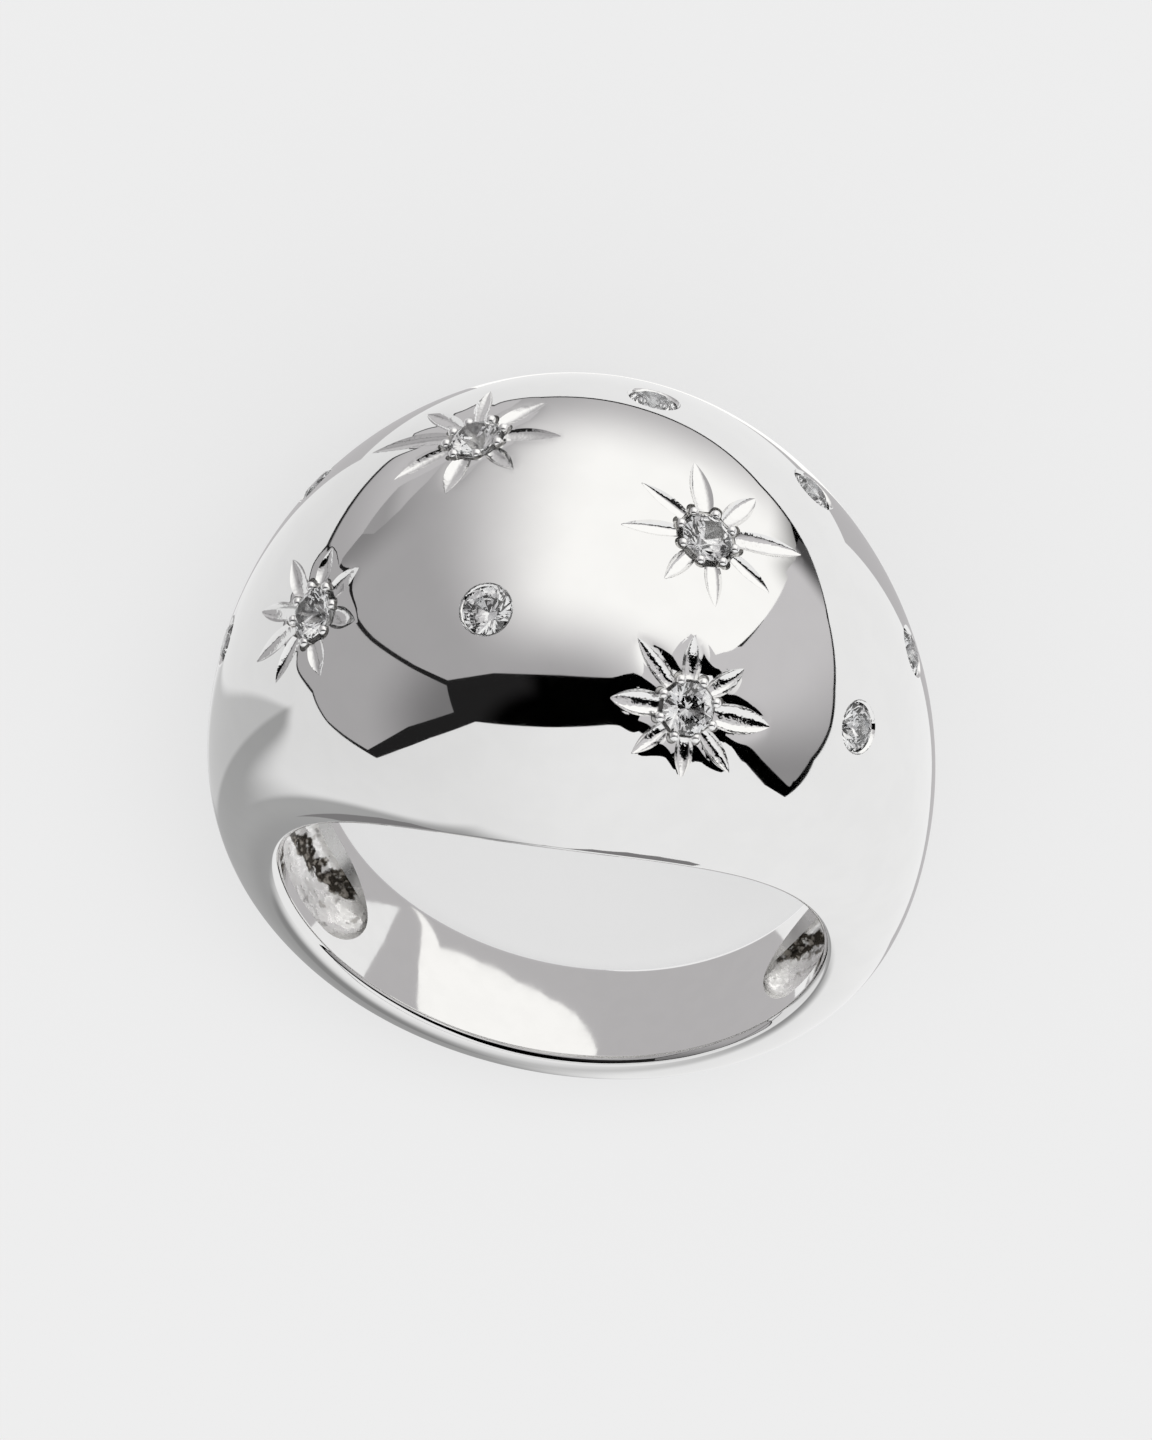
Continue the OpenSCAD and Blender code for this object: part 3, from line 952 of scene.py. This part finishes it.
# outlines of the panels: the dark opening around the lit ones, the panels in it, and two strips
# along its lower right edge
OPENING = [(-118, 14), (-113, 21), (-101, 29), (-85, 43), (-68, 61), (-58, 74), (0, 84), (62, 80),
           (87, 63), (109, 47), (119, 34), (125, 24), (111, 12), (101, 4), (94, -9), (78, -31),
           (66, -51), (39, -64), (-3, -65), (-28, -60), (-44, -51), (-61, -40), (-72, -28),
           (-84, -15), (-92, -7), (-101, 4)]
MIDDLE = [(-58, 42), (-48, 46), (-29, 55), (0, 60), (43, 55), (67, 47), (71, 34), (73.5, 15),
          (74, 2), (74, -8), (77, -30), (65, -50), (39, -63), (-3, -64), (-28, -59), (-43.5, -50),
          (-54, -44), (-56, -38)]
LEFT = [(-112, 14), (-100, 23), (-85, 31), (-58, 42), (-52, 26), (-58, 12), (-57, -3), (-55, -18),
        (-55.5, -34), (-57, -41), (-60, -41), (-71, -28), (-83.5, -14), (-91.5, -6), (-100, 5)]
RIGHT = [(70, 48), (85, 55), (104, 40), (121, 23), (110, 12), (100, 4), (93, -9), (78, -29),
         (75.5, -8), (75.5, 2), (75, 15), (73, 34)]
STRIP = [(76.5, -17), (74, -19.8), (70, -21.4), (66, -23.3), (61.6, -28.2), (57.9, -32),
         (54.8, -34.8), (50.1, -38), (44, -41.5), (38, -44.5), (34, -50), (39, -62), (52, -57),
         (65, -49.5), (76.5, -30)]
SECOND = [(66, -23.3), (62.3, -19.9), (58.8, -20.7), (54.7, -22.7), (50.7, -26.8), (46.9, -30.8),
          (42, -36), (38, -44.5), (44, -41.5), (50.1, -38), (54.8, -34.8), (57.9, -32),
          (61.6, -28.2)]

# tints of the light
WARM = (1.0, 0.993, 0.973)
MAUVE = (1.0, 0.978, 0.99)


def opening_tone(n, azimuth, elevation):
    """All but black, with a faint glow on its right."""
    far = n.times(n.ramp(azimuth, 12, 30), n.ramp(elevation, 72, 62))
    return n.times(far, 0.016), MAUVE


def middle_tone(n, azimuth, elevation):
    """Brightest in its middle, dimmer to the right and above, and dark in its low left corner."""
    side = n.ramp(azimuth, 0, 50, 1.0, 0.0)
    top = n.ramp(elevation, 24, 60, 1.0, 0.0)
    low = n.ramp(elevation, -66, -30, 0.2, 1.0)
    lit = n.times(n.times(side, top), low)
    shade_side = n.ramp(azimuth, 44, 66, 0.0, 0.16)
    shade_low = n.ramp(elevation, -6, -22, 0.0, 1.0)
    light = n.plus(n.times(lit, 0.7), 0.42)
    light = n.less(light, n.times(shade_side, shade_low))
    corner = n.times(n.ramp(azimuth, -46, -58, 0.0, 0.75), n.ramp(elevation, -16, -30))
    return n.less(light, corner), n.blend(lit, MAUVE, WARM)


def left_tone(n, azimuth, elevation):
    light = n.ramp(azimuth, -106, -72, 0.3, 0.64)
    return n.times(light, n.ramp(elevation, -37, -28, 0.12, 1.0)), MAUVE


def right_tone(n, azimuth, elevation):
    return n.ramp(elevation, 22, 52, 0.44, 0.2), MAUVE


def strip_tone(n, azimuth, elevation):
    return n.ramp(azimuth, 74, 56, 0.45, 0.58), MAUVE


def second_tone(n, azimuth, elevation):
    return n.ramp(azimuth, 60, 52, 0.36, 0.52), MAUVE


# height of the boards under the ring, which stand in for the floor in its reflections
UNDER = -4.0


def under(corners, lower=0.0):
    """Corners of a board under the ring."""
    return [(x, y, UNDER - lower) for x, y in corners]


def boards():
    """Everything close and far that the ring mirrors; each panel lies before those above it in
    the list."""
    panel("studio_opening", OPENING, (0, 10), 2.6, opening_tone)
    panel("studio_middle", MIDDLE, (5, 0), 2.3, middle_tone)
    panel("studio_second", SECOND, (53, -32), 2.2, second_tone)
    panel("studio_strip", STRIP, (63, -36), 2.15, strip_tone)
    panel("studio_left", LEFT, (-72, 10), 2.0, left_tone)
    panel("studio_right", RIGHT, (88, 18), 2.0, right_tone)
    # what the inside of the shank faces, and what the dome's lower edge faces over it
    card("studio_under", under([(-14, -10), (14, -10), (14, 13), (-14, 13)], 0.3), 0.53, MAUVE)
    card("studio_under_lit", under([
        (-1.2, 4.0), (-2.2, 2.9), (-4.4, 1.2), (-6.4, -0.8), (-7.4, -2.4), (-7.4, -9), (-4, -10),
        (6, -10), (5.3, -6.6), (4.1, -5.9), (2.5, -5.1), (0.6, -4.5), (-1.2, -3.2),
        (-2.4, -1.0), (-3.0, 1.2), (-2.1, 2.6)]), 1.12, WARM)
    card("studio_under_left", under([
        (-1.5, 4.2), (-3.5, 4.0), (-4.9, 4.3), (-9, 5.6), (-9, 12), (-0.6, 12), (-0.9, 7)]), 0.95)
    # what the hole's upper edge faces across the shank
    card("studio_back", [(x, 15, z) for x, z in (
        (13.5, 8), (13, 12), (12, 15), (9, 19), (5, 22), (0, 23.5), (-5, 22), (-7.6, 19.6),
        (-9, 16.6), (-9.6, 13.6), (-9.5, 12), (-8.7, 12), (-7.4, 15),
        (-4.5, 18), (0, 19.5), (5, 18), (8.5, 14.5), (10.5, 11), (11, 7), (13.5, 5))],
        0.22, MAUVE)


def lamp():
    """A broad lamp, for the shadow on the floor."""
    sun = bpy.data.lights.new("sun_soft", "SUN")
    sun.energy = 0.75
    sun.angle = math.radians(30)
    obj = bpy.data.objects.new("sun_soft", sun)
    obj.rotation_euler = toward(-25, 52).to_track_quat("Z", "Y").to_euler()
    obj.visible_glossy = False
    bpy.context.scene.collection.objects.link(obj)


# brightness of the room, how much it dims towards +X, how much darker each step of the wedge
# in it is, and how much darker the band beside the wedge is
ROOM, ROOM_SIDE = 0.945, 0.13
WEDGE_FIRST, WEDGE_SECOND, WEDGE_BACK = 0.26, 0.18, 0.09
ROOM_RIM = 0.1


def room():
    """Pale all round, with a darker wedge low down behind the ring on the +X side and a faint
    level band beside it, which the shank and the hole's edges mirror."""
    world = bpy.data.worlds.new("studio")
    bpy.context.scene.world = world
    world.use_nodes = True
    tree = world.node_tree
    n = Nodes(tree)
    coords = tree.nodes.new("ShaderNodeTexCoord").outputs["Generated"]
    azimuth, elevation = n.angles(coords)
    turn = n.math("MODULO", n.plus(azimuth, 360), 360)
    # the wedge darkens in two steps, whose azimuths change with the elevation, then slowly
    drop = n.math("MAXIMUM", n.math("DIVIDE", n.less(-9, elevation), 51), 0.0)
    first = n.plus(n.times(n.times(drop, drop), 28), 109)
    second = n.plus(n.times(n.less(-11, elevation), 0.81), 114.5)
    dark = n.plus(n.ramp(n.less(turn, first), -1.5, 1.5, 0.0, WEDGE_FIRST),
                  n.ramp(n.less(turn, second), -1.5, 1.5, 0.0, WEDGE_SECOND))
    dark = n.plus(dark, n.ramp(turn, 150, 168, 0.0, WEDGE_BACK))
    # its upper edge sinks and grows softer, then rises; the wedge and the band end together
    top = n.plus(n.ramp(turn, 114, 138, -3.0, -16.0), n.ramp(turn, 145, 160, 0.0, 34.0))
    soft = n.ramp(turn, 112, 135, 2.5, 8.0)
    before_end = n.ramp(turn, 178, 171)
    share = n.ramp(elevation, n.plus(top, soft), n.less(top, soft))
    share = n.times(n.times(share, n.ramp(elevation, -63, -54)), before_end)
    rim = n.times(n.ramp(elevation, 20, 10), n.ramp(elevation, -9, -3))
    rim = n.times(rim, n.times(n.ramp(turn, 160, 169), before_end))
    side = n.ramp(n.dot(coords, (1, 0, 0)), -0.4, 1.0)
    light = n.less(ROOM, n.times(side, ROOM_SIDE))
    light = n.less(light, n.times(share, dark))
    light = n.less(light, n.times(rim, ROOM_RIM))
    background = tree.nodes["Background"]
    n.put(background.inputs["Color"], (1, 1, 1))
    n.put(background.inputs["Strength"], light)


boards()
lamp()
room()
bpy.context.scene.view_settings.view_transform = "Standard"
